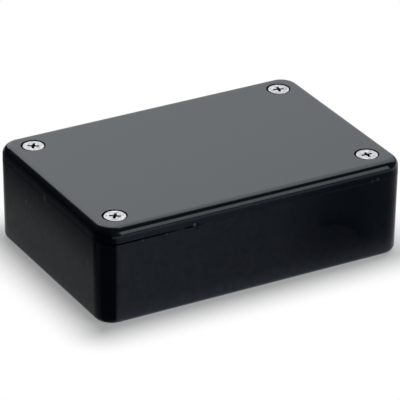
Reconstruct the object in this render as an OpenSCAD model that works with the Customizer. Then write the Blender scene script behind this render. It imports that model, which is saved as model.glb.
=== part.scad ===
// Small moulded enclosure: a tub with corner screw pillars and slots for circuit boards,
// a flat lid on a lap joint, four countersunk screws and four threaded inserts.
// The origin is the centre of the underside. +X runs along the long side, +Z is up.

/* [Case] */
// Length of the case at the seam between tub and lid
case_l = 85; // [75:1:160]
// Width of the case at the seam between tub and lid
case_w = 57.6; // [50:0.5:120]
// Height of the closed case
case_h = 25.8; // [22:0.5:60]
// Radius of the upright corners, seen from above
corner_r = 5.1; // [4.4:0.1:6.5]
// Thickness of the side walls
wall_t = 2.2; // [1.8:0.1:2.6]
// Thickness of the floor
floor_t = 2; // [1.5:0.1:3]
// Rounding of the lower outer edge
base_edge_r = 1.6; // [0.8:0.1:1.8]
// Rounding between the inner walls and the floor
inner_edge_r = 0.8; // [0.4:0.1:1]
// Draft of the side walls in degrees
draft_angle = 0.7; // [0.1:0.1:1]

/* [Lid] */
// Height of the lid's side above the seam
lid_h = 3.9; // [3.8:0.1:6]
// Thickness of the lid's top panel
lid_t = 2.4; // [2.2:0.1:2.8]
// Rounding of the lid's top edge
lid_edge_r = 2.4; // [1.2:0.1:2.6]
// Width of the small bevels that meet at the seam
seam_bevel = 0.1; // [0.05:0.05:0.4]

/* [Lap joint] */
// Height of the step in the tub's rim
lap_h = 1.6; // [1.2:0.1:2.4]
// Width of that step, which the lid's tongue sits in
lap_t = 1.1; // [0.9:0.05:1.3]
// Clearance beside and below the tongue, and between the pillars
lap_gap = 0.15; // [0.1:0.05:0.25]

/* [Screws] */
// Distance of each screw's axis from the two nearest sides
screw_inset = 7.1; // [6.8:0.1:7.6]
// Length of a screw from the top of its head to its tip
screw_l = 10; // [8:0.5:11]
// Diameter of a screw's shank, at half the height of its thread
shank_d = 2.68; // [2.6:0.02:2.8]
// Diameter of a screw's head
head_d = 5.5; // [5.3:0.1:5.8]
// Height of the rim of a screw's head
head_rim_h = 0.38; // [0.3:0.02:0.46]
// Rounding of the head's upper edge
head_edge_r = 0.12; // [0.06:0.02:0.16]
// Depth of the head's top below the face of the lid
head_drop = 0.04; // [0.02:0.02:0.2]
// Clearance round the rim of the head
sink_gap = 0.3; // [0.2:0.02:0.34]
// Clearance round the shank in the lid
hole_gap = 0.36; // [0.3:0.02:0.42]
// Clearance between a screw's cone and its countersink
seat_gap = 0.03; // [0.02:0.01:0.06]
// Length across the wings of the cross recess
recess_d = 2.9; // [2.5:0.1:3.2]
// Thickness of the wings of the cross recess
recess_wing_t = 0.7; // [0.5:0.05:0.8]
// Diameter of the cone between the wings
recess_core_d = 1.6; // [1.2:0.1:1.8]
// Depth of the cross recess
recess_depth = 1.5; // [1.2:0.1:1.6]

/* [Inserts] */
// Outer diameter of an insert
insert_d = 4.6; // [4.4:0.1:5]
// Length of an insert
insert_l = 5; // [4:0.5:6]
// Clearance between a shank and the bore of its insert
thread_gap = 0.16; // [0.12:0.02:0.2]
// Bevel round the mouth of the bore
insert_lead = 0.25; // [0.15:0.05:0.35]
// Width of the groove round an insert's middle
groove_w = 0.9; // [0.6:0.1:1.2]
// Depth of that groove
groove_depth = 0.3; // [0.25:0.05:0.4]
// Depth of the notches of the knurl
notch_depth = 0.18; // [0.1:0.02:0.2]
// Number of notches in the knurl
notch_count = 18; // [12:2:24]
// Height of the plain band above the knurl
band_h = 0.9; // [0.6:0.1:1.2]

/* [Pillars] */
// Wall of a pillar round its insert
pillar_wall = 1.4; // [1.2:0.1:1.6]
// Thickness of the webs that tie a pillar to the walls
web_t = 1.6; // [1.2:0.1:2]
// Spare depth of the hole below a screw's tip
tip_room = 0.8; // [0.5:0.1:2]

/* [Board slots] */
// Width of a slot for a circuit board
slot_w = 1.9; // [1.7:0.1:2.4]
// Thickness of the ribs on each side of a slot
rib_t = 1; // [0.8:0.1:1.4]
// Reach of the ribs from the wall
rib_reach = 1.5; // [1:0.1:2]
// Height of the slope that leads a board in at the top of a rib
rib_lead = 0.8; // [0.4:0.1:1.4]
// Distance between neighbouring slots
slot_pitch = 12; // [9:0.5:20]

/* [Hidden] */
$fn = 64;

CASE_COLOUR = [0.07, 0.075, 0.085];
SCREW_COLOUR = [0.82, 0.82, 0.80];
INSERT_COLOUR = [0.80, 0.62, 0.30];

// Turn of each tightened screw: front left, front right, back left, back right.
RECESS_TURNS = [54, 87, 56, 75];
// Half the angle between the sides of the recess, which narrows downwards.
RECESS_TAPER = 26.5;
TIP_BEVEL = 0.4;

// How far a cutter runs past the face that it opens, and how far a rib or web runs
// into the wall that carries it.
PAST = 1;
BITE = 0.3;

slope = tan(draft_angle);
seam_z = case_h - lid_h;
step_z = seam_z - lap_h;
tongue_z = step_z + lap_gap;
lid_inside_z = case_h - lid_t;

// Corner radii of the inner walls, of the step and of the tongue.
inner_r = corner_r - wall_t;
step_r = inner_r + lap_t;
tongue_r = step_r - lap_gap;

hole_d = shank_d + 2 * hole_gap;
bore_d = shank_d + 2 * thread_gap;
sink_d = head_d + 2 * sink_gap;
pillar_d = insert_d + 2 * pillar_wall;

// The cones are at 90 degrees, so each drops as much as its radius narrows.
sink_h = (sink_d - hole_d) / 2;
head_cone_h = (head_d - shank_d) / 2;
head_top_z = case_h - head_drop;
tip_z = head_top_z - screw_l;

// Top of the countersink's cone, where its mouth's straight wall starts.
sink_z = head_top_z - head_rim_h - seat_gap + sink_gap;
pilot_z = min(tip_z, step_z - insert_l) - tip_room;

rib_offset = (slot_w + rib_t) / 2;
rib_top_z = step_z - rib_lead;

// Places of the slots that fit between two pillars on a side of the given length.
function slot_places(side_l) =
    let (room = side_l / 2 - screw_inset - pillar_d / 2 - rib_offset - rib_t)
    let (n = floor(room / slot_pitch))
    [for (i = [-n : n]) i * slot_pitch];

module area(x0, y0, x1, y1) {
    translate([x0, y0]) square([x1 - x0, y1 - y0]);
}

// A quarter of a disc at the upper right of the point (x, y).
module quarter_disc(x, y, r) {
    translate([x, y]) intersection() {
        circle(r);
        square(r);
    }
}

// A block on the case's plan. Its child is the profile of its edge: x is the distance
// outwards from the centre line of a corner, and y is the height, from z0 to z1.
module edge_block(z0, z1) {
    core_l = case_l - 2 * corner_r;
    core_w = case_w - 2 * corner_r;
    for (flip_x = [0, 1], flip_y = [0, 1])
        mirror([flip_x, 0, 0]) mirror([0, flip_y, 0])
            translate([core_l / 2, core_w / 2, 0]) rotate_extrude(angle = 90) children();
    for (flip_x = [0, 1])
        mirror([flip_x, 0, 0])
            translate([core_l / 2, core_w / 2, 0]) rotate([90, 0, 0])
                linear_extrude(core_w) children();
    for (flip_y = [0, 1])
        mirror([0, flip_y, 0])
            translate([-core_l / 2, core_w / 2, 0]) rotate([90, 0, 90])
                linear_extrude(core_l) children();
    translate([-core_l / 2, -core_w / 2, z0]) cube([core_l, core_w, z1 - z0]);
}

// The same with upright sides, at corner radius r.
module upright_block(r, z0, z1) {
    edge_block(z0, z1) area(0, z0, r, z1);
}

// Edge of a drafted block that widens upwards to radius r, with its foot rounded.
module rising_profile(r, z0, z1, foot_r, bevel) {
    foot_x = r - slope * (z1 - z0 - foot_r);
    polygon([
        [0, z0 + foot_r], [foot_x, z0 + foot_r],
        [r, z1 - bevel], [r - bevel, z1], [0, z1]
    ]);
    area(0, z0, foot_x - foot_r, z0 + foot_r);
    translate([0, z0 + foot_r]) mirror([0, 1]) quarter_disc(foot_x - foot_r, 0, foot_r);
}

// Edge of the lid: a bevel at the seam, a drafted side and a rounded top.
module lid_profile() {
    shoulder_z = case_h - lid_edge_r;
    shoulder_x = corner_r - slope * (shoulder_z - seam_z);
    polygon([
        [0, seam_z], [corner_r - seam_bevel, seam_z], [corner_r, seam_z + seam_bevel],
        [shoulder_x, shoulder_z], [0, shoulder_z]
    ]);
    area(0, shoulder_z, shoulder_x - lid_edge_r, case_h);
    quarter_disc(shoulder_x - lid_edge_r, shoulder_z, lid_edge_r);
}

// Puts its children on a corner's screw axis. Each side is -1 or 1.
module at_corner(side_x, side_y) {
    translate([side_x * (case_l / 2 - screw_inset), side_y * (case_w / 2 - screw_inset), 0])
        children();
}

module at_corners() {
    for (side_x = [-1, 1], side_y = [-1, 1]) at_corner(side_x, side_y) children();
}

// Four pillars, each with two webs that run out into the side walls.
module pillars(z0, z1) {
    web_l = screw_inset - wall_t + BITE;
    for (side_x = [-1, 1], side_y = [-1, 1])
        at_corner(side_x, side_y) translate([0, 0, z0]) {
            cylinder(d = pillar_d, h = z1 - z0);
            translate([min(0, side_x * web_l), -web_t / 2, 0]) cube([web_l, web_t, z1 - z0]);
            translate([-web_t / 2, min(0, side_y * web_l), 0]) cube([web_t, web_l, z1 - z0]);
        }
}

// One rib of a slot. The wall's face is at x = 0 and the rib reaches towards -x.
module rib() {
    foot_z = floor_t - BITE;
    translate([0, rib_t / 2, 0]) rotate([90, 0, 0]) linear_extrude(rib_t) polygon([
        [BITE, foot_z], [-rib_reach, foot_z], [-rib_reach, rib_top_z - rib_lead],
        [0, rib_top_z], [BITE, rib_top_z]
    ]);
}

// The slots on the wall at x = side_x, each between two ribs.
module wall_slots(side_x, places) {
    for (place = places, side = [-1, 1])
        translate([side_x, place + side * rib_offset, 0]) rib();
}

module board_slots() {
    for (turn = [0, 180]) {
        rotate(turn) wall_slots(case_l / 2 - wall_t, slot_places(case_w));
        rotate(turn + 90) wall_slots(case_w / 2 - wall_t, slot_places(case_l));
    }
}

module tub() {
    color(CASE_COLOUR) difference() {
        union() {
            difference() {
                edge_block(0, seam_z)
                    rising_profile(corner_r, 0, seam_z, base_edge_r, seam_bevel);
                edge_block(floor_t, seam_z + PAST)
                    rising_profile(inner_r, floor_t, seam_z + PAST, inner_edge_r, 0);
            }
            pillars(floor_t - BITE, step_z);
            board_slots();
        }
        upright_block(step_r, step_z, seam_z + PAST);
        at_corners() {
            translate([0, 0, step_z - insert_l]) cylinder(d = insert_d, h = insert_l + PAST);
            translate([0, 0, pilot_z]) cylinder(d = bore_d, h = step_z - pilot_z);
        }
    }
}

module lid() {
    color(CASE_COLOUR) difference() {
        union() {
            difference() {
                union() {
                    edge_block(seam_z, case_h) lid_profile();
                    upright_block(tongue_r, tongue_z, seam_z);
                }
                upright_block(inner_r, tongue_z - PAST, lid_inside_z);
            }
            pillars(tongue_z, lid_inside_z + BITE);
        }
        at_corners() {
            translate([0, 0, tongue_z - PAST]) cylinder(d = hole_d, h = case_h);
            translate([0, 0, sink_z - sink_h]) cylinder(d1 = hole_d, d2 = sink_d, h = sink_h);
            translate([0, 0, sink_z]) cylinder(d = sink_d, h = case_h + PAST - sink_z);
        }
    }
}

// Half the side view of a screw, from its bevelled tip to its flat head.
module screw_profile() {
    rim_z = head_top_z - head_rim_h;
    edge_x = head_d / 2 - head_edge_r;
    edge_z = head_top_z - head_edge_r;
    shank_r = shank_d / 2;
    polygon([
        [0, tip_z], [shank_r - TIP_BEVEL, tip_z], [shank_r, tip_z + TIP_BEVEL],
        [shank_r, rim_z - head_cone_h], [head_d / 2, rim_z], [head_d / 2, edge_z], [0, edge_z]
    ]);
    area(0, edge_z, edge_x, head_top_z);
    quarter_disc(edge_x, edge_z, head_edge_r);
}

// Two crossed wings that narrow downwards from z = 0, with a cone between them.
module cross_recess() {
    taper = tan(RECESS_TAPER);
    top_x = recess_d / 2 + taper * PAST;
    bottom_x = recess_d / 2 - taper * recess_depth;
    for (turn = [0, 90])
        rotate(turn) rotate([90, 0, 0]) translate([0, 0, -recess_wing_t / 2])
            linear_extrude(recess_wing_t) polygon([
                [-bottom_x, -recess_depth], [bottom_x, -recess_depth],
                [top_x, PAST], [-top_x, PAST]
            ]);
    translate([0, 0, -recess_depth])
        cylinder(d1 = recess_core_d / 2, d2 = recess_core_d, h = recess_depth + PAST);
}

module screw(turn) {
    color(SCREW_COLOUR) difference() {
        rotate_extrude() screw_profile();
        translate([0, 0, head_top_z]) rotate(turn) cross_recess();
    }
}

// Half the section of an insert's wall, with a groove that the plastic grips.
module insert_profile() {
    outer_r = insert_d / 2;
    bore_r = bore_d / 2;
    foot_z = step_z - insert_l;
    groove_z = foot_z + (insert_l - groove_w) / 2;
    polygon([
        [bore_r, foot_z], [outer_r, foot_z], [outer_r, groove_z],
        [outer_r - groove_depth, groove_z], [outer_r - groove_depth, groove_z + groove_w],
        [outer_r, groove_z + groove_w], [outer_r, step_z], [bore_r + insert_lead, step_z],
        [bore_r, step_z - insert_lead]
    ]);
}

// An insert, knurled up to a plain band at its top.
module insert() {
    notch_w = notch_depth * sqrt(2);
    notch_h = insert_l + PAST - band_h;
    color(INSERT_COLOUR) difference() {
        rotate_extrude() insert_profile();
        for (i = [1 : notch_count])
            rotate(i * 360 / notch_count) translate([insert_d / 2, 0, step_z - insert_l - PAST])
                rotate(45) translate([-notch_w / 2, -notch_w / 2, 0])
                    cube([notch_w, notch_w, notch_h]);
    }
}

tub();
lid();
at_corner(-1, -1) screw(RECESS_TURNS[0]);  // screw_front_left
at_corner(1, -1) screw(RECESS_TURNS[1]);  // screw_front_right
at_corner(-1, 1) screw(RECESS_TURNS[2]);  // screw_back_left
at_corner(1, 1) screw(RECESS_TURNS[3]);  // screw_back_right
at_corner(-1, -1) insert();  // insert_front_left
at_corner(1, -1) insert();  // insert_front_right
at_corner(-1, 1) insert();  // insert_back_left
at_corner(1, 1) insert();  // insert_back_right
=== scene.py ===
"""Looks of a small black screwed enclosure: moulded plastic, plated screws and brass inserts.

Everything is in metres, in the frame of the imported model: +X along the long side, +Z up,
the origin at the centre of the underside.
"""
import math

import bpy
import numpy as np
from mathutils import Matrix, Vector


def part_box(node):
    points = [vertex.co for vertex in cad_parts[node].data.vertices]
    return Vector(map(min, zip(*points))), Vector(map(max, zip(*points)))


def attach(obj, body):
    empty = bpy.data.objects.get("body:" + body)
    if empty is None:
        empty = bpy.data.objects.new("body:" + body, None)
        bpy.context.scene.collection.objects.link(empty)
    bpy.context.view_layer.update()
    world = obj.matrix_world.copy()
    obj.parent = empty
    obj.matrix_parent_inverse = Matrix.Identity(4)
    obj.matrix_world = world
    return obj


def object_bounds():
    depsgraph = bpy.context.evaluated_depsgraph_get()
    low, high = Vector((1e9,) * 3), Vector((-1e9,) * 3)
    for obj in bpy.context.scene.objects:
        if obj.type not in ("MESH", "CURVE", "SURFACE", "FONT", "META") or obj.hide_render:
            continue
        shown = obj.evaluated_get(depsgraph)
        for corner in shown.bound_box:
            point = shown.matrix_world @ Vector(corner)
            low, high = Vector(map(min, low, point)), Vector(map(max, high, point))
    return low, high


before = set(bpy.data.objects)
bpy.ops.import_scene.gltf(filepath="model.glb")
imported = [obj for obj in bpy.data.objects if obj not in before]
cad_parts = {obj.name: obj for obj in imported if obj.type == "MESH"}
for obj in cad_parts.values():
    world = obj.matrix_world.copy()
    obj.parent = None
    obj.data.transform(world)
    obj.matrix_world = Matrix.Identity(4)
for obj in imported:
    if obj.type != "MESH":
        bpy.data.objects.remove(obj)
CAD_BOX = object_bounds()

CORNERS = ("front_left", "front_right", "back_left", "back_right")

# The case's own sizes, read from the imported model.
CASE_LOW, CASE_HIGH = CAD_BOX
SEAM_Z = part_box("tub")[1].z
SCREW_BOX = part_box("screw_back_right")
SCREW_AXIS = (SCREW_BOX[0] + SCREW_BOX[1]) / 2
HEAD_TOP_Z = SCREW_BOX[1].z
HEAD_RADIUS = (SCREW_BOX[1].x - SCREW_BOX[0].x) / 2

# Painted shade and dark residue lie in the screws' cross recesses. It fades out between two
# distances from the axis, fades in between two depths below the head's top, and fades out
# between two others.
SHADE_RESIDUE_EDGE = (0.001500, 0.001425)
SHADE_RESIDUE_TOP = (0.00005, 0.00040)
SHADE_RESIDUE_FOOT = (0.0014, 0.0013)
# The dull black of the countersinks in the lid, painted shade where their walls lose all gloss,
# reaches this far round the heads, with a fading edge of this width, and lies this far to the
# back.
SINK_GAP = 0.00044
SINK_EDGE = 0.000066
SINK_BACK = 0.00014
# Half the height of the small groove where the lid meets the tub, and the width over which
# its edges fade.
GROOVE = 0.00011
GROOVE_EDGE = 0.00005
# Where that groove is a black line of painted shadow, as if the joint stood open: the line fades
# in between two places on the front wall, going left. Beside it is a dash of the same painted
# shadow, given by its middle, half its length and the width over which its ends fade. Both are
# higher than the groove by this factor.
LINE_END = (-0.0195, -0.0262)
DASH = (-0.0190, 0.0010, 0.0006)
LINE_SWELL = 1.5
# A nick beside the dash: its bright face and the pits next to it, each with the distances at
# which it begins and is complete.
NICK = (-0.0174, CASE_LOW.y, SEAM_Z + 0.0003)
NICK_EDGE = (0.00048, 0.00024)
PITS = (-0.0167, CASE_LOW.y, SEAM_Z - 0.0002)
PITS_EDGE = (0.00110, 0.00066)
# Height of the pale edge along the foot, which is painted light reflected from the floor.
FOOT_LIGHT_HEIGHT = 0.0016
# Specks of dust on the walls: place and radius.
SPECKS = (
    ((CASE_LOW.x, 0.0120, 0.0162), 0.0007),
    ((CASE_LOW.x, 0.0016, 0.0219), 0.0012),
    ((CASE_LOW.x, 0.0230, 0.0031), 0.0008),
    ((-0.0316, CASE_LOW.y, 0.0213), 0.0004),
    ((-0.0251, CASE_LOW.y, 0.0216), 0.0004),
    ((0.0343, CASE_LOW.y, 0.0222), 0.0006),
    ((0.0328, CASE_LOW.y, 0.0220), 0.0005),
)

# The threads: pitch, widths of a ridge at its foot and at its crest, and the radii of both.
PITCH = 0.0005
RIDGE_WIDTHS = (0.00044, 0.00008)
SCREW_RIDGE = (0.00128, 0.00144)
INSERT_RIDGE = (0.00154, 0.00146)
STEPS_PER_TURN = 40
# A ridge rises over this many turns, from this share of its height.
RUN_OUT = 0.5
RUN_OUT_START = 0.02
# How far the screw's thread stops short of its tip and of its head's top, and the insert's
# of both its faces.
SCREW_THREAD_ENDS = (0.00050, 0.00210)
INSERT_THREAD_ENDS = (0.00035, 0.00060)
# Edges of a thread that turn by more than this stay sharp.
SHARP_ANGLE = math.radians(25)

# The gloss of the walls, as shares of the full gloss. Its unevenness is painted shade and
# painted reflection of the floor. The front wall's falls from its left end to its right end.
# Along the foot it rises by FRONT_FOOT_GLOSS, a painted reflection of light from the floor, and
# with FOOT_POWER it falls away fast above.
FOOT_POWER = 12.0
FRONT_FOOT_GLOSS = 6.5
FRONT_ENDS = (-0.037, 0.036)
FRONT_GLOSS = (1.10, 0.36)
# A patch of painted shade on the front wall, where its gloss is cut: its middle, the distances
# at which it begins and is complete, and the gloss that it leaves.
PATCH = (0.024, CASE_LOW.y, 0.016)
PATCH_EDGE = (0.0180, 0.0054)
PATCH_GLOSS = 0.50
# A bow-shaped line of painted shade under it: its middle, where it fades in from the inside and
# out to the outside, where its left and its lower end fade, and the gloss that it leaves.
BOW = (0.020, CASE_LOW.y, 0.002)
BOW_INSIDE = (0.0104, 0.0112)
BOW_OUTSIDE = (0.0160, 0.0114)
BOW_LEFT_END = (0.017, 0.020)
BOW_LOW_END = (0.002, 0.008)
BOW_GLOSS = 0.55
# The left wall, whose gloss paints shade and the floor's reflection: its least gloss, what a
# slow and a fast rise toward the foot add, and how far it dulls from the middle of the wall to
# its back end.
LEFT_GLOSS = 0.035
LEFT_SLOW_GLOSS = 0.37
LEFT_SLOW_POWER = 1.3
LEFT_FOOT_GLOSS = 2.0
LEFT_BACK = (0.0, 0.028)
LEFT_BACK_GLOSS = 0.78
# The gloss left on the rounded corner between them, as painted shade, and the mottling of all of
# it.
CORNER_GLOSS = 0.08
WALL_MOTTLE = (0.84, 1.16)
# The lid has the top's gloss down to the first depth below its face and the side's gloss from
# the second on; the side's lower gloss is painted shade. On the left both lie higher, over a
# strip that fades between two distances from the left wall, and the rounding there is duller
# still, as painted shade.
LID_SIDE_DEPTH = (0.0013, 0.0025)
LEFT_RISE = 0.0011
LEFT_STRIP = (0.0030, 0.0026)
LID_SIDE_GLOSS = 0.29
LEFT_ROUNDING_GLOSS = 0.15
# How far a surface has to face left or front, by its normal's x or y, for each of these to
# begin and to be complete.
FACES_LEFT = (-0.80, -0.97)
FACES_FRONT = (-0.3, -0.6)
CORNER_FACES_LEFT = (-0.16, -0.30)
CORNER_FACES_FRONT = (-0.02, -0.55)
STILL_ROUNDED = (-0.98, -0.94)

# The shader's specular level at full gloss.
FULL_GLOSS = 0.5
TUB_IOR = 1.26
LID_IOR = 1.50
# Colours, as red, green, blue and opacity.
TUB_BLACK = (0.0010, 0.0032, 0.0070, 1.0)
LID_BLACK = (0.0010, 0.0050, 0.0110, 1.0)
WALL_TINT = (0.66, 0.78, 1.0, 1.0)
TOP_TINT = (0.93, 0.98, 1.0, 1.0)
SHADOW_BLACK = (0.0, 0.0, 0.0, 1.0)
DUST_AND_FOOT_LIGHT_GREY = (0.11, 0.11, 0.12, 1.0)
NICK_FACE = (0.17, 0.175, 0.18, 1.0)
PLATE_DULL = (0.32, 0.31, 0.30, 1.0)
PLATE_BRIGHT = (0.64, 0.625, 0.605, 1.0)
SHADE_RESIDUE_DARK = (0.02, 0.02, 0.02, 1.0)
SHADE_RESIDUE_PALE = (0.30, 0.30, 0.30, 1.0)
BRASS = (0.72, 0.50, 0.20, 1.0)
PAPER = (0.93, 0.93, 0.93, 1.0)

# How thickly the dust lies in the groove of the front wall, in that of the left wall, and in
# the specks.
FRONT_GROOVE_DUST = 0.22
LEFT_GROOVE_DUST = 0.05
SPECK_DUST = 0.7

# Roughness. The plastic's drifts between two values, its grain varies it a little more, and
# hairlines that run along the case are rougher.
PLASTIC_ROUGHNESS = (0.12, 0.15)
GRAIN_ROUGHNESS = (-0.02, 0.02)
HAIRLINE_ROUGHNESS = 0.10
METAL_ROUGHNESS = (0.22, 0.36)
PAPER_ROUGHNESS = 0.9
# Heights of the bumps, and how strongly they show.
GRAIN_HEIGHT = 0.0000015
PLATE_HEIGHT = 0.00004
BUMP_STRENGTH = 0.5
# Noise, in cells per metre. NOISE_SPAN is the range that nearly all its values lie in, and the
# other spans are the parts of it that these patterns come from.
PLASTIC_DRIFT = 60.0
PLASTIC_GRAIN = 3500.0
HAIRLINES = (60.0, 2500.0, 60.0)
GLOSS_MOTTLE = 450.0
DUST_MOTTLE = 700.0
PIT_GRAIN = 2600.0
METAL_DRIFT = 900.0
PLATE_BLOTCHES = 1600.0
SHADE_RESIDUE_GRAIN = 2200.0
NOISE_SPAN = (0.3, 0.7)
HAIRLINE_SPAN = (0.62, 0.70)
DUST_SPAN = (0.35, 0.60)
PIT_SPAN = (0.50, 0.56)
BLOTCH_SPAN = (0.35, 0.65)
SHADE_RESIDUE_SPAN = (0.40, 0.62)

# Camera: its bearing and height round the case, its roll, its distance, its lens and sensor,
# and how far it sees.
CAMERA_BEARING = math.radians(-29.44)
CAMERA_HEIGHT = math.radians(26.89)
CAMERA_ROLL = math.radians(0.57)
CAMERA_DISTANCE = 0.853
CAMERA_LENS = 307.2
CAMERA_SENSOR = 36.0
CAMERA_REACH = 50.0
CAMERA_AIM = Vector((-0.0009, -0.0019, 0.0129))

# The big softbox stands at the back right. One edge of it lies in the plane through the case
# and these two directions, which is where its reflection in the lid's rounded edges ends. It
# reaches between two places along that edge, spreads by an angle to both sides of its middle,
# and is graded across between two shares of its radiance.
BIG_EDGE_RIGHT = Vector((0.438, 0.0, 0.90))
BIG_EDGE_BACK = Vector((-0.10, 0.777, 0.62))
BIG_DISTANCE = 1.0
BIG_SPREAD = math.radians(28)
BIG_REACH = (-0.75, 0.95)
BIG_RADIANCE = 1.36
BIG_FADE = (0.45, 1.55)

# The front softbox stands low at the front right.
FRONT_BEARING = math.radians(29)
FRONT_RISE = math.radians(26)
FRONT_DISTANCE = 0.8
FRONT_SIZE = (0.35, 0.44)
FRONT_RADIANCE = 1.75

# The colour of both lamps, a slightly cool white, and the strength of the room's even light.
LAMP_COLOUR = (0.955, 1.0, 1.045)
ROOM_LIGHT = 0.07

# The floor: its size, how far it lies under the case, and the distances from the case between
# which its paper turns to plain white.
FLOOR_SIZE = 12.0
FLOOR_DROP = 0.00005
FLOOR_WHITE_REACH = (-0.007, 0.013)


# ---------------------------------------------------------------- camera, lamps and floor

def direction(bearing, height):
    """Unit vector that points from the case to a viewer at that bearing and height."""
    return Vector((
        math.sin(bearing) * math.cos(height),
        -math.cos(bearing) * math.cos(height),
        math.sin(height),
    ))


def look_matrix(place, aim, roll=0.0):
    """Places something that looks along its own -Z, turned by roll about that axis."""
    turn = (aim - place).to_track_quat("-Z", "Y").to_matrix().to_4x4()
    return Matrix.Translation(place) @ turn @ Matrix.Rotation(roll, 4, "Z")


def make_camera():
    """The camera that the scene is seen with."""
    data = bpy.data.cameras.new("camera")
    data.lens = CAMERA_LENS
    data.sensor_width = CAMERA_SENSOR
    data.clip_end = CAMERA_REACH
    camera = bpy.data.objects.new("camera", data)
    bpy.context.scene.collection.objects.link(camera)
    place = CAMERA_AIM + direction(CAMERA_BEARING, CAMERA_HEIGHT) * CAMERA_DISTANCE
    camera.matrix_world = look_matrix(place, CAMERA_AIM, CAMERA_ROLL)
    bpy.context.scene.camera = camera


def make_lamp(name, matrix, size, radiance):
    """A soft rectangular lamp. Its power is radiance times pi times its area."""
    data = bpy.data.lights.new(name, "AREA")
    data.shape = "RECTANGLE"
    data.size, data.size_y = size
    data.energy = radiance * math.pi * size[0] * size[1]
    data.color = LAMP_COLOUR
    lamp = bpy.data.objects.new(name, data)
    bpy.context.scene.collection.objects.link(lamp)
    lamp.matrix_world = matrix
    return data


def fade_lamp(data, low, high):
    """Grades a lamp's face from low times its radiance at one edge to high at the other."""
    data.use_nodes = True
    nodes = data.node_tree.nodes
    links = data.node_tree.links
    place = nodes.new("ShaderNodeNewGeometry").outputs["Parametric"]
    split = nodes.new("ShaderNodeSeparateXYZ")
    links.new(place, split.inputs["Vector"])
    grade = nodes.new("ShaderNodeMapRange")
    grade.inputs["To Min"].default_value = low
    grade.inputs["To Max"].default_value = high
    links.new(split.outputs["Y"], grade.inputs["Value"])
    links.new(grade.outputs["Result"], nodes["Emission"].inputs["Strength"])


def make_big_softbox():
    """A rectangle square to the line from the case to its middle, hung from one edge."""
    across = BIG_EDGE_BACK.cross(BIG_EDGE_RIGHT).normalized()
    edge = (BIG_EDGE_BACK + BIG_EDGE_RIGHT).normalized()
    out = edge * math.cos(BIG_SPREAD) + across * math.sin(BIG_SPREAD)
    up = edge * math.sin(BIG_SPREAD) - across * math.cos(BIG_SPREAD)
    along = up.cross(out)
    middle = out * BIG_DISTANCE + along * (sum(BIG_REACH) / 2)
    matrix = Matrix.Translation(middle) @ Matrix((along, up, out)).transposed().to_4x4()
    size = (BIG_REACH[1] - BIG_REACH[0], 2 * BIG_DISTANCE * math.tan(BIG_SPREAD))
    fade_lamp(make_lamp("big_softbox", matrix, size, BIG_RADIANCE), *BIG_FADE)


def make_front_softbox():
    """A smaller rectangle that faces the case."""
    place = direction(FRONT_BEARING, FRONT_RISE) * FRONT_DISTANCE
    make_lamp("front_softbox", look_matrix(place, Vector((0, 0, 0))), FRONT_SIZE, FRONT_RADIANCE)


def make_room():
    """A dim even light from all sides."""
    world = bpy.data.worlds.new("room")
    bpy.context.scene.world = world
    world.use_nodes = True
    background = world.node_tree.nodes["Background"]
    background.inputs["Color"].default_value = (1.0, 1.0, 1.0, 1.0)
    background.inputs["Strength"].default_value = ROOM_LIGHT


def make_floor():
    """One large sheet just under the case."""
    half = FLOOR_SIZE / 2
    corners = [(-half, -half), (half, -half), (half, half), (-half, half)]
    mesh = bpy.data.meshes.new("floor")
    mesh.from_pydata([(x, y, -FLOOR_DROP) for x, y in corners], [], [(0, 1, 2, 3)])
    floor = bpy.data.objects.new("floor", mesh)
    bpy.context.scene.collection.objects.link(floor)
    mesh.materials.append(floor_paper())


# ---------------------------------------------------------------- threads

def add_piece(name, points, faces, material, body, slot):
    """A new smooth piece with sharp edges, riding on a body."""
    mesh = bpy.data.meshes.new(name)
    mesh.from_pydata(points.tolist(), [], faces)
    mesh.polygons.foreach_set("use_smooth", np.ones(len(mesh.polygons), dtype=bool))
    mesh.set_sharp_from_angle(angle=SHARP_ANGLE)
    mesh.materials.append(material)
    piece = bpy.data.objects.new(name, mesh)
    bpy.context.scene.collection.objects.link(piece)
    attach(piece, body)
    return piece


def helical_ridge(axis, low_z, high_z, radii):
    """Points and faces of a thread: a four-cornered ridge carried along a helix.

    At turn t the ridge's middle stands at height low_z + PITCH * t and at angle 2 pi t. Its four
    corners lie at the foot radius, half the foot's width to each side, and at the crest radius,
    half the crest's width to each side. Over the first and last RUN_OUT turns the crest sinks
    to the foot's radius, so the thread runs out. Both ends are closed by their four corners.
    """
    foot_light, crest = radii
    turns = (high_z - low_z) / PITCH
    t = np.linspace(0.0, turns, int(turns * STEPS_PER_TURN) + 1)
    run_out = np.clip(np.minimum(t, turns - t) / RUN_OUT, RUN_OUT_START, 1.0)
    crest_r = foot_light + (crest - foot_light) * run_out
    foot_r = np.full_like(t, foot_light)
    radius = np.stack([foot_r, crest_r, crest_r, foot_r], axis=1)
    side = np.array([-RIDGE_WIDTHS[0], -RIDGE_WIDTHS[1], RIDGE_WIDTHS[1], RIDGE_WIDTHS[0]]) / 2
    angle = 2 * np.pi * t[:, None]
    x = axis.x + radius * np.cos(angle)
    y = axis.y + radius * np.sin(angle)
    z = low_z + PITCH * t[:, None] + np.broadcast_to(side, radius.shape)
    points = np.stack([x, y, z], axis=2).reshape(-1, 3)
    step, corner = np.meshgrid(np.arange(len(t) - 1), np.arange(4), indexing="ij")
    here = step * 4 + corner
    beside = step * 4 + (corner + 1) % 4
    walls = np.stack([here, here + 4, beside + 4, beside], axis=2).reshape(-1, 4)
    last = 4 * (len(t) - 1)
    ends = np.array([[0, 1, 2, 3], [last + 3, last + 2, last + 1, last]])
    faces = np.concatenate([walls, ends])
    if crest < foot_light:
        faces = faces[:, ::-1]
    return points, faces.tolist()


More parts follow.
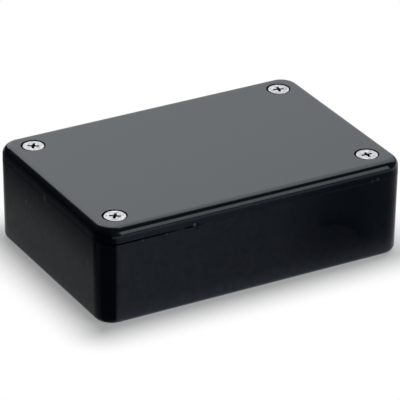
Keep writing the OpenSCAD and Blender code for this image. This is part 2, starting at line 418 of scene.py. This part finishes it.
def add_threads(corner, plate, brass):
    """The outer thread of one screw and the inner thread of its insert."""
    low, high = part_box(f"screw_{corner}")
    axis = (low + high) / 2
    ridge = helical_ridge(axis, low.z + SCREW_THREAD_ENDS[0], high.z - SCREW_THREAD_ENDS[1],
                          SCREW_RIDGE)
    add_piece(f"screw_thread_{corner}", *ridge, plate, f"fastener_{corner}", "screw_steel")
    low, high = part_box(f"insert_{corner}")
    ridge = helical_ridge(axis, low.z + INSERT_THREAD_ENDS[0], high.z - INSERT_THREAD_ENDS[1],
                          INSERT_RIDGE)
    add_piece(f"insert_thread_{corner}", *ridge, brass, "base", "insert_brass")


# ---------------------------------------------------------------- materials

class Finish:
    """A material under construction: its node tree, its shader and short ways to add nodes."""

    def __init__(self, name):
        self.material = bpy.data.materials.new(name)
        self.material.use_nodes = True
        self.nodes = self.material.node_tree.nodes
        self.links = self.material.node_tree.links
        self.shader = self.nodes["Principled BSDF"]
        coordinates = self.nodes.new("ShaderNodeTexCoord").outputs
        self.place = coordinates["Object"]
        split = self.nodes.new("ShaderNodeSeparateXYZ")
        self.links.new(self.place, split.inputs["Vector"])
        self.x, self.y, self.z = split.outputs
        split = self.nodes.new("ShaderNodeSeparateXYZ")
        self.links.new(coordinates["Normal"], split.inputs["Vector"])
        self.facing_x, self.facing_y = split.outputs[:2]

    def set(self, **values):
        """Sets sockets of the shader, named with _ for each space."""
        for socket, value in values.items():
            self.shader.inputs[socket.replace("_", " ")].default_value = value

    def feed(self, value, socket):
        """Puts a number or colour into any socket, or links an output to it."""
        if isinstance(value, (int, float, tuple)):
            socket.default_value = value
        else:
            self.links.new(value, socket)

    def link(self, value, socket):
        """Links an output to a socket of the shader."""
        self.links.new(value, self.shader.inputs[socket])

    def noise(self, scale, detail=2.0, rough=0.5, place=None):
        """Noise with that many cells per metre."""
        node = self.nodes.new("ShaderNodeTexNoise")
        node.inputs["Scale"].default_value = scale
        node.inputs["Detail"].default_value = detail
        node.inputs["Roughness"].default_value = rough
        self.links.new(place or self.place, node.inputs["Vector"])
        return node.outputs["Fac"]

    def stretched(self, scale):
        """Object coordinates drawn out along some axes, for marks that run one way."""
        node = self.nodes.new("ShaderNodeVectorMath")
        node.operation = "MULTIPLY"
        self.links.new(self.place, node.inputs[0])
        node.inputs[1].default_value = scale
        return node.outputs["Vector"]

    def remap(self, value, low, high, to_low=0.0, to_high=1.0):
        """Carries low to high onto to_low to to_high, and holds it there outside."""
        node = self.nodes.new("ShaderNodeMapRange")
        for socket, number in zip(node.inputs, (value, low, high, to_low, to_high)):
            self.feed(number, socket)
        return node.outputs["Result"]

    def smooth(self, value, low, high):
        """0 at low, 1 at high, eased at both ends."""
        result = self.remap(value, low, high)
        result.node.interpolation_type = "SMOOTHSTEP"
        return result

    def blend(self, share, first, second):
        """first where the share is 0, second where it is 1."""
        node = self.nodes.new("ShaderNodeMix")
        for socket, number in zip((node.inputs[0], node.inputs[2], node.inputs[3]),
                                  (share, first, second)):
            self.feed(number, socket)
        return node.outputs[0]

    def math(self, operation, first, second=0.0, third=0.0):
        """The result of one operation on up to three values."""
        node = self.nodes.new("ShaderNodeMath")
        node.operation = operation
        for socket, number in zip(node.inputs, (first, second, third)):
            self.feed(number, socket)
        return node.outputs["Value"]

    def times(self, *factors):
        """The product of all factors."""
        product = factors[0]
        for factor in factors[1:]:
            product = self.math("MULTIPLY", product, factor)
        return product

    def mix(self, share, first, second):
        """A colour between first and second."""
        node = self.nodes.new("ShaderNodeMix")
        node.data_type = "RGBA"
        self.feed(share, node.inputs[0])
        self.feed(first, node.inputs[6])
        self.feed(second, node.inputs[7])
        return node.outputs[2]

    def distance(self, centre):
        """The distance from a point."""
        node = self.nodes.new("ShaderNodeVectorMath")
        node.operation = "DISTANCE"
        self.links.new(self.place, node.inputs[0])
        node.inputs[1].default_value = centre
        return node.outputs["Value"]

    def near(self, centre, reach):
        """1 at a point, falling to 0 at that reach from it."""
        return self.remap(self.distance(centre), 0.0, reach, 1.0, 0.0)

    def band(self, value, middle, half, soft):
        """1 within half of the middle, falling to 0 over the soft width outside it."""
        away = self.math("ABSOLUTE", self.math("SUBTRACT", value, middle))
        return self.remap(away, half, half + soft, 1.0, 0.0)

    def screw_radius(self, back=0.0):
        """The distance from a line that far behind the axis of the nearest screw."""
        side = self.math("MULTIPLY_ADD", self.math("SIGN", self.y), SCREW_AXIS.y, back)
        along = self.math("SUBTRACT", self.math("ABSOLUTE", self.x), SCREW_AXIS.x)
        across = self.math("SUBTRACT", self.y, side)
        square = self.math("ADD", self.times(along, along), self.times(across, across))
        return self.math("SQRT", square)

    def bump(self, height, distance):
        """Raises the surface by up to that distance where the height is 1."""
        node = self.nodes.new("ShaderNodeBump")
        node.inputs["Distance"].default_value = distance
        node.inputs["Strength"].default_value = BUMP_STRENGTH
        self.links.new(height, node.inputs["Height"])
        self.links.new(node.outputs["Normal"], self.shader.inputs["Normal"])


def floor_paper():
    """White paper that keeps the shadow under and round the case. Farther off it is plain white
    to the eye and in reflections, though it still lights the case only as paper does."""
    finish = Finish("floor_paper")
    finish.set(Base_Color=PAPER, Roughness=PAPER_ROUGHNESS, Specular_IOR_Level=0.0)
    beyond_x = finish.math("SUBTRACT", finish.math("ABSOLUTE", finish.x), CASE_HIGH.x)
    beyond_y = finish.math("SUBTRACT", finish.math("ABSOLUTE", finish.y), CASE_HIGH.y)
    beyond_x = finish.math("MAXIMUM", beyond_x, 0.0)
    beyond_y = finish.math("MAXIMUM", beyond_y, 0.0)
    square = finish.math("ADD", finish.times(beyond_x, beyond_x), finish.times(beyond_y, beyond_y))
    away = finish.smooth(finish.math("SQRT", square), *FLOOR_WHITE_REACH)
    path = finish.nodes.new("ShaderNodeLightPath").outputs
    seen = finish.math("ADD", path["Is Camera Ray"], path["Is Glossy Ray"])
    seen = finish.math("ADD", seen, path["Is Transmission Ray"])
    white = finish.nodes.new("ShaderNodeEmission")
    blend = finish.nodes.new("ShaderNodeMixShader")
    finish.links.new(finish.times(seen, away), blend.inputs["Fac"])
    finish.links.new(finish.shader.outputs["BSDF"], blend.inputs[1])
    finish.links.new(white.outputs["Emission"], blend.inputs[2])
    finish.links.new(blend.outputs["Shader"], finish.nodes["Material Output"].inputs["Surface"])
    return finish.material


def left_wall(finish):
    """1 on the left wall, 0 on the front wall and elsewhere."""
    return finish.remap(finish.facing_x, *FACES_LEFT)


def front_painted_gloss(finish, low):
    """The front wall's gloss, as painted shade and painted reflection of the floor: highest along
    the foot, less toward the right end, and least in the patch and in the bow-shaped line of
    painted shade there."""
    foot_light = finish.math("MULTIPLY", finish.math("POWER", low, FOOT_POWER), FRONT_FOOT_GLOSS)
    # Painted shade: the front wall reflects less toward its right end.
    along = finish.remap(finish.x, *FRONT_ENDS, *FRONT_GLOSS)
    bow = finish.distance(BOW)
    bow = finish.times(
        finish.remap(bow, *BOW_INSIDE),
        finish.remap(bow, *BOW_OUTSIDE),
        finish.remap(finish.x, *BOW_LEFT_END),
        finish.remap(finish.z, *BOW_LOW_END),
    )
    return finish.times(
        finish.math("ADD", foot_light, along),
        finish.remap(finish.distance(PATCH), *PATCH_EDGE, 1.0, PATCH_GLOSS),
        finish.remap(bow, 0.0, 1.0, 1.0, BOW_GLOSS),
    )


def left_painted_gloss(finish, low):
    """The left wall's gloss, as painted shade and painted reflection of the floor: it is nearly
    gone at the lid and grows toward the foot.
    """
    foot_light = finish.math("POWER", low, FOOT_POWER)
    slow = finish.math("POWER", low, LEFT_SLOW_POWER)
    gloss = finish.math("MULTIPLY_ADD", foot_light, LEFT_FOOT_GLOSS, LEFT_GLOSS)
    gloss = finish.math("MULTIPLY_ADD", slow, LEFT_SLOW_GLOSS, gloss)
    return finish.times(gloss, finish.remap(finish.y, *LEFT_BACK, 1.0, LEFT_BACK_GLOSS))


def wall_painted_gloss(finish):
    """How glossy the side walls are, as a share of the full gloss, which paints shade and the
    floor's reflection onto them.

    The rounded corner between the front and the left wall is nearly dull, as painted shade, and
    the gloss is mottled all over.
    """
    low = finish.remap(finish.z, 0.0, SEAM_Z, 1.0, 0.0)
    gloss = finish.blend(left_wall(finish), front_painted_gloss(finish, low), left_painted_gloss(finish, low))
    # Painted shade: the corner between the front and the left wall loses its reflection.
    corner = finish.times(finish.remap(finish.facing_y, *CORNER_FACES_FRONT),
                          finish.remap(finish.facing_x, *CORNER_FACES_LEFT))
    mottle = finish.noise(GLOSS_MOTTLE, detail=4.0, rough=0.65)
    return finish.times(gloss, finish.remap(mottle, *NOISE_SPAN, *WALL_MOTTLE),
                        finish.remap(corner, 0.0, 1.0, 1.0, CORNER_GLOSS))


def gap_shadow_and_pits(finish):
    """Where the groove is a black line of painted shadow, as if the joint stood open: on the left
    of the front wall, and in a short dash beside the nick. The pits of the nick are black too."""
    line = finish.math("MAXIMUM", finish.remap(finish.x, *LINE_END),
                       finish.band(finish.x, *DASH))
    line = finish.times(finish.band(finish.z, SEAM_Z, GROOVE * LINE_SWELL, GROOVE_EDGE), line,
                        finish.remap(finish.facing_y, *FACES_FRONT))
    pits = finish.times(finish.remap(finish.distance(PITS), *PITS_EDGE),
                        finish.remap(finish.noise(PIT_GRAIN, detail=1.0), *PIT_SPAN))
    return finish.math("MAXIMUM", line, pits)


def dust_and_foot_light(finish):
    """Where the walls are pale: painted light from the floor along the foot, and dust and scuffs
    in the groove and in a few specks. There is less of it in the groove of the left wall."""
    mottle = finish.noise(DUST_MOTTLE, detail=4.0, rough=0.6)
    # Painted light: a pale band along the foot, where light from the floor falls.
    foot_light = finish.times(finish.remap(finish.z, FOOT_LIGHT_HEIGHT, 0.0), finish.remap(mottle, *DUST_SPAN))
    thickness = finish.blend(left_wall(finish), FRONT_GROOVE_DUST, LEFT_GROOVE_DUST)
    groove = finish.times(finish.band(finish.z, SEAM_Z, GROOVE, GROOVE_EDGE), thickness)
    dust_and_light = finish.math("MAXIMUM", foot_light, groove)
    for place, radius in SPECKS:
        speck = finish.times(finish.near(place, radius), SPECK_DUST)
        dust_and_light = finish.math("MAXIMUM", dust_and_light, speck)
    return dust_and_light


def moulded_plastic(name, ior, black):
    """Black moulded plastic with a fine satin face. Its roughness drifts a little over the face,
    with hairlines, and it has dust, painted light along the foot, a nick, and black lines of
    painted shadow in the groove. Returns it and its painted shadow and pits."""
    finish = Finish(name)
    finish.set(IOR=ior)
    drift = finish.noise(PLASTIC_DRIFT, detail=3.0)
    grain = finish.noise(PLASTIC_GRAIN, detail=2.0)
    hairlines = finish.noise(1.0, detail=3.0, place=finish.stretched(HAIRLINES))
    rough = finish.math("ADD", finish.remap(drift, *NOISE_SPAN, *PLASTIC_ROUGHNESS),
                        finish.remap(grain, *NOISE_SPAN, *GRAIN_ROUGHNESS))
    hairlines = finish.remap(hairlines, *HAIRLINE_SPAN, 0.0, HAIRLINE_ROUGHNESS)
    finish.link(finish.math("ADD", rough, hairlines), "Roughness")
    finish.bump(grain, GRAIN_HEIGHT)
    colour = finish.mix(dust_and_foot_light(finish), black, DUST_AND_FOOT_LIGHT_GREY)
    nick = finish.remap(finish.distance(NICK), *NICK_EDGE)
    colour = finish.mix(nick, colour, NICK_FACE)
    # Painted shadow in the groove, and the nick's pits, drawn black without reflection.
    shadow_and_pits = gap_shadow_and_pits(finish)
    finish.link(finish.mix(shadow_and_pits, colour, SHADOW_BLACK), "Base Color")
    return finish, shadow_and_pits


def tub_plastic():
    """The tub's plastic: its walls shine unevenly, as painted shade and painted reflection, and
    its painted shadow and pits don't shine.
    """
    finish, shadow_and_pits = moulded_plastic("tub_plastic", TUB_IOR, TUB_BLACK)
    finish.set(Specular_Tint=WALL_TINT)
    share = finish.times(wall_painted_gloss(finish), finish.math("SUBTRACT", 1.0, shadow_and_pits))
    finish.link(finish.times(share, FULL_GLOSS), "Specular IOR Level")
    return finish.material


def lid_plastic():
    """The lid's plastic. Its top has the full gloss and its sides have a share of the walls'
    gloss, as painted shade. The walls of the countersinks are dull and black, as painted shade."""
    finish, shadow_and_pits = moulded_plastic("lid_plastic", LID_IOR, LID_BLACK)
    # Painted shade: the lid's sides and its left rounding reflect less than its top.
    on_left = finish.remap(finish.math("SUBTRACT", finish.x, CASE_LOW.x), *LEFT_STRIP)
    depth = finish.math("SUBTRACT", CASE_HIGH.z, finish.z)
    depth = finish.math("MULTIPLY_ADD", on_left, LEFT_RISE, depth)
    side = finish.remap(depth, *LID_SIDE_DEPTH)
    finish.link(finish.mix(side, TOP_TINT, WALL_TINT), "Specular Tint")
    rounding = finish.times(on_left, finish.remap(finish.facing_x, *STILL_ROUNDED))
    walls = finish.times(
        wall_painted_gloss(finish),
        finish.remap(shadow_and_pits, 0.0, 1.0, LID_SIDE_GLOSS, 0.0),
        finish.remap(rounding, 0.0, 1.0, 1.0, LEFT_ROUNDING_GLOSS),
    )
    # Painted shade: the countersinks' walls lose their reflection and look black.
    sink_radius = HEAD_RADIUS + SINK_GAP
    countersink_shade = finish.remap(finish.screw_radius(SINK_BACK), sink_radius, sink_radius - SINK_EDGE)
    level = finish.times(finish.blend(side, 1.0, walls),
                         finish.remap(countersink_shade, 0.0, 1.0, FULL_GLOSS, 0.0))
    finish.link(level, "Specular IOR Level")
    return finish.material


def nickel_plate():
    """Bright plate over a pressed head: uneven, with painted shade and dark residue down in the
    recess.
    """
    finish = Finish("screw_nickel")
    finish.set(Metallic=1.0)
    drift = finish.noise(METAL_DRIFT, detail=3.0)
    depth = finish.math("SUBTRACT", HEAD_TOP_Z, finish.z)
    # The recess is darkened with painted shade, mixed with dark residue.
    recess = finish.times(
        finish.remap(finish.screw_radius(), *SHADE_RESIDUE_EDGE),
        finish.remap(depth, *SHADE_RESIDUE_TOP),
        finish.remap(depth, *SHADE_RESIDUE_FOOT),
    )
    blotches = finish.remap(finish.noise(PLATE_BLOTCHES, detail=2.0), *BLOTCH_SPAN)
    plate = finish.mix(blotches, PLATE_DULL, PLATE_BRIGHT)
    shade_residue = finish.remap(finish.noise(SHADE_RESIDUE_GRAIN, detail=1.0), *SHADE_RESIDUE_SPAN)
    shade_residue = finish.mix(shade_residue, SHADE_RESIDUE_DARK, SHADE_RESIDUE_PALE)
    finish.link(finish.mix(recess, plate, shade_residue), "Base Color")
    finish.link(finish.remap(drift, *NOISE_SPAN, *METAL_ROUGHNESS), "Roughness")
    finish.bump(drift, PLATE_HEIGHT)
    return finish.material


def turned_brass():
    """Plain turned brass."""
    finish = Finish("insert_brass")
    finish.set(Base_Color=BRASS, Metallic=1.0)
    drift = finish.noise(METAL_DRIFT, detail=3.0)
    finish.link(finish.remap(drift, *NOISE_SPAN, *METAL_ROUGHNESS), "Roughness")
    return finish.material


def dress(node, material):
    """Gives a CAD node its finish, in its own material slot."""
    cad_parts[node].material_slots[0].material = material


make_camera()
make_big_softbox()
make_front_softbox()
make_room()
make_floor()

dress("tub", tub_plastic())
dress("lid", lid_plastic())
plate = nickel_plate()
brass = turned_brass()
for corner in CORNERS:
    dress(f"screw_{corner}", plate)
    dress(f"insert_{corner}", brass)
    add_threads(corner, plate, brass)

bpy.context.scene.view_settings.view_transform = "Standard"
